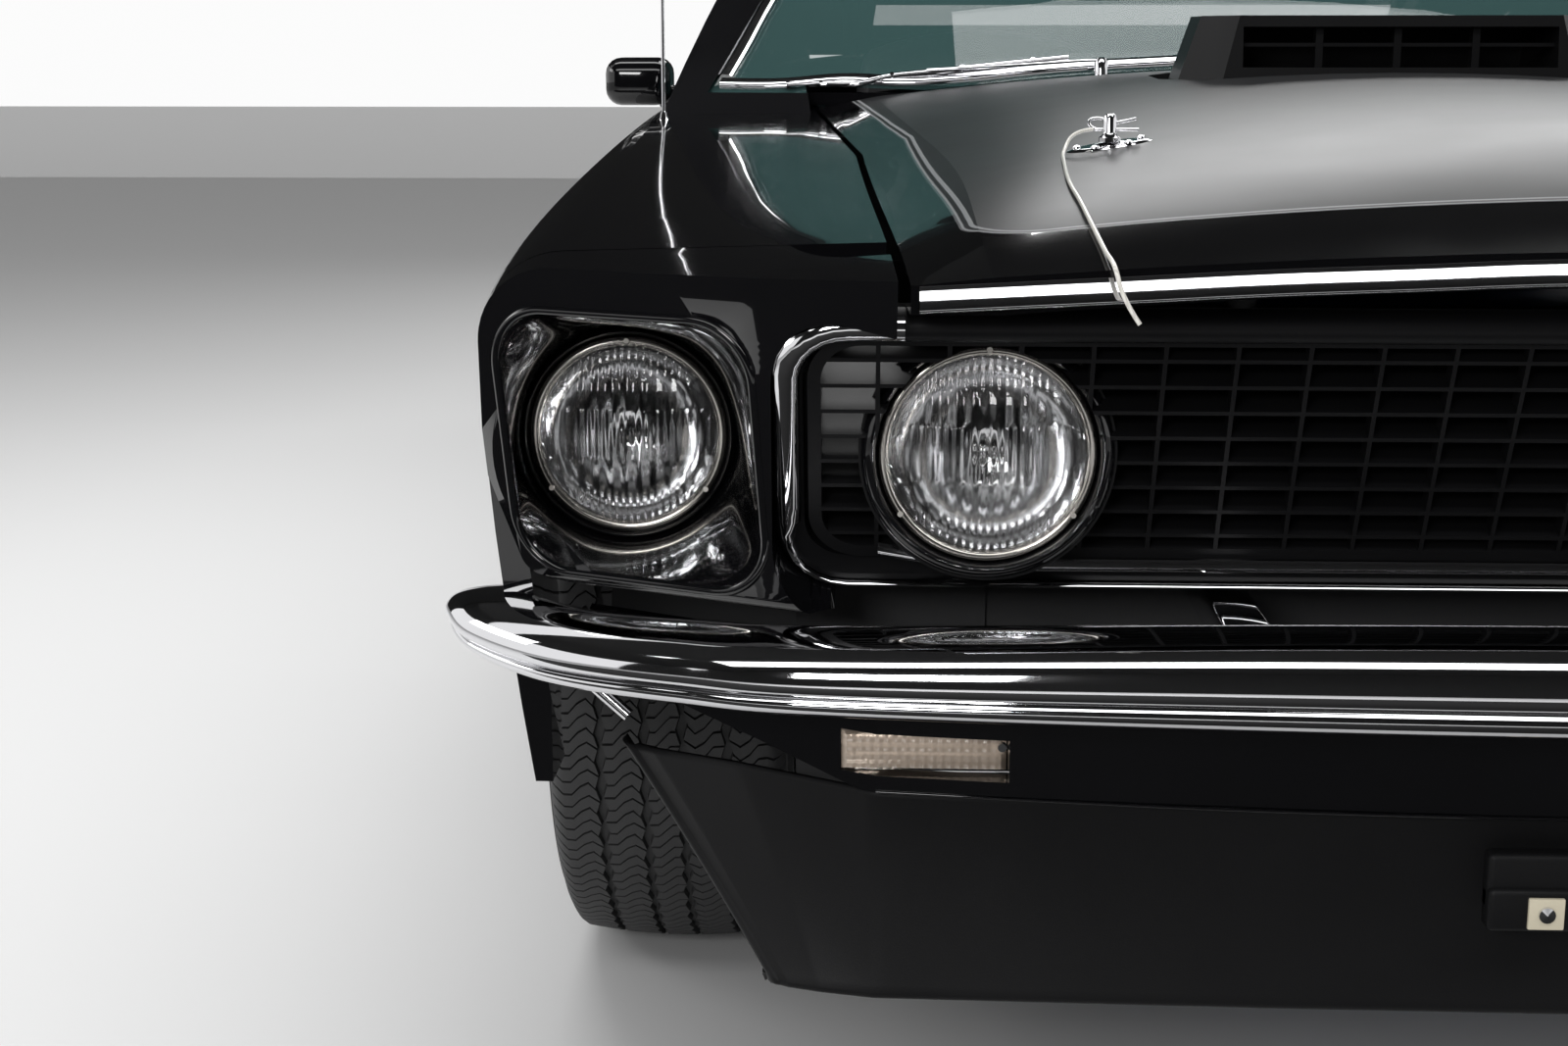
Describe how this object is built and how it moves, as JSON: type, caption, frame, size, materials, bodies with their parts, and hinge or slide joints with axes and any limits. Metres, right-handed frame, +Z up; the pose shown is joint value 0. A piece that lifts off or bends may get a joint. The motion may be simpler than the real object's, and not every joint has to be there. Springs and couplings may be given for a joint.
{
  "type": "two-door fastback muscle car",
  "caption": "Low two-door fastback coupe with deep lamp buckets, wrap-round bumpers, chin spoiler, hood scoop with pins, hollow cabin, opening doors and lids, steered wheels.",
  "frame": {"origin": "on the ground under the middle of the car's overall length and width", "axes": "-Y points out of the nose, +X to the car's left side, +Z up"},
  "size_m": [1.852, 4.7598, 1.278],
  "materials": {
    "body_paint": "deep gloss black paint, satin black with a thin line on the hood",
    "underbody": "satin black",
    "grained_black": "fine grained, matte",
    "satin_black": "satin",
    "bright_metal": "polished",
    "lamp_glass": "clear, ribbed",
    "amber_lens": "pale, ribbed",
    "red_lens": "glossy, ribbed",
    "window_glass": "slightly green tint",
    "engine_paint": "satin",
    "steel": "dull",
    "cabin_trim": "grained",
    "cabin_vinyl": "black vinyl",
    "tyre_rubber": "ribbed tread with zigzag cuts",
    "rim_paint": "grey spokes with a bright lip",
    "lanyard_cable": "clear plastic over a thin steel cable"
  },
  "bodies": {
    "body": {"floor_pan": "underbody", "firewall": "underbody", "radiator_support": "underbody", "front_structure": "underbody", "rear_structure": "underbody", "cowl": "body_paint", "roof_shell": "body_paint", "quarters": "body_paint", "fenders": "body_paint", "nose_corners": "body_paint", "tail_panel": "body_paint", "front_valance": "body_paint", "chin_spoiler": "grained_black", "front_bumper": "bright_metal", "rear_bumper": "bright_metal", "grille": "grained_black", "grille_trim": "bright_metal", "headlamps": "lamp_glass", "parking_lamps": "amber_lens", "tail_lamps": "red_lens", "windshield": "window_glass", "rear_glass": "window_glass", "rear_louvre": "satin_black", "hood_scoop": "satin_black", "engine_block": "engine_paint", "front_suspension": "underbody", "rear_axle": "underbody", "exhaust": "steel", "fuel_tank": "steel", "dashboard": "cabin_trim", "front_seats": "cabin_vinyl", "rear_seat": "cabin_vinyl", "wipers": "bright_metal", "antenna": "bright_metal"},
    "steering_hand_wheel": {"steering_wheel": "cabin_trim"},
    "left_knuckle": {"knuckle_left": "underbody"},
    "right_knuckle": {"knuckle_right": "underbody"},
    "wheel_front_left": {"tyre_front_left": "tyre_rubber", "rim_front_left": "rim_paint"},
    "wheel_front_right": {"tyre_front_right": "tyre_rubber", "rim_front_right": "rim_paint"},
    "wheel_rear_left": {"tyre_rear_left": "tyre_rubber", "rim_rear_left": "rim_paint"},
    "wheel_rear_right": {"tyre_rear_right": "tyre_rubber", "rim_rear_right": "rim_paint"},
    "left_door": {"door_left": "body_paint", "door_glass_left": "window_glass", "mirror_left": "body_paint"},
    "right_door": {"door_right": "body_paint", "door_glass_right": "window_glass", "mirror_right": "body_paint"},
    "hood_panel": {"hood": "body_paint", "hood_pins": "bright_metal", "hood_moulding": "bright_metal", "lanyard_left": "lanyard_cable", "lanyard_right": "lanyard_cable"},
    "boot_panel": {"boot_lid": "body_paint"}
  },
  "joints": [
    {"name": "steering_turn", "type": "hinge", "parent": "body", "child": "steering_hand_wheel", "pos_m": [0.37, -0.47, 0.742], "axis": [0, 0.9511, 0.309], "range_deg": [-480, 480]},
    {"name": "steer_left", "type": "hinge", "parent": "body", "child": "left_knuckle", "pos_m": [0.689, -1.44, 0.331], "axis": [0, 0, 1], "range_deg": [-30, 30]},
    {"name": "steer_right", "type": "hinge", "parent": "body", "child": "right_knuckle", "pos_m": [-0.689, -1.44, 0.331], "axis": [0, 0, 1], "range_deg": [-30, 30]},
    {"name": "roll_front_left", "type": "hinge", "parent": "left_knuckle", "child": "wheel_front_left", "pos_m": [0.755, -1.44, 0.331], "axis": [1, 0, 0], "continuous": true},
    {"name": "roll_front_right", "type": "hinge", "parent": "right_knuckle", "child": "wheel_front_right", "pos_m": [-0.755, -1.44, 0.331], "axis": [1, 0, 0], "continuous": true},
    {"name": "roll_rear_left", "type": "hinge", "parent": "body", "child": "wheel_rear_left", "pos_m": [0.755, 1.303, 0.331], "axis": [1, 0, 0], "continuous": true},
    {"name": "roll_rear_right", "type": "hinge", "parent": "body", "child": "wheel_rear_right", "pos_m": [-0.755, 1.303, 0.331], "axis": [1, 0, 0], "continuous": true},
    {"name": "door_left_swing", "type": "hinge", "parent": "body", "child": "left_door", "pos_m": [0.89, -0.78, 0.6], "axis": [0, 0, -1], "range_deg": [0, 65]},
    {"name": "door_right_swing", "type": "hinge", "parent": "body", "child": "right_door", "pos_m": [-0.89, -0.78, 0.6], "axis": [0, 0, 1], "range_deg": [0, 65]},
    {"name": "hood_lift", "type": "hinge", "parent": "body", "child": "hood_panel", "pos_m": [0, -0.88, 0.905], "axis": [-1, 0, 0], "range_deg": [0, 50]},
    {"name": "boot_lift", "type": "hinge", "parent": "body", "child": "boot_panel", "pos_m": [0, 1.506, 0.918], "axis": [1, 0, 0], "range_deg": [0, 65]}
  ],
  "couplings": [
    {"joint": "steer_left", "follows": "steering_turn", "ratio": 0.0625},
    {"joint": "steer_right", "follows": "steering_turn", "ratio": 0.0625}
  ]
}
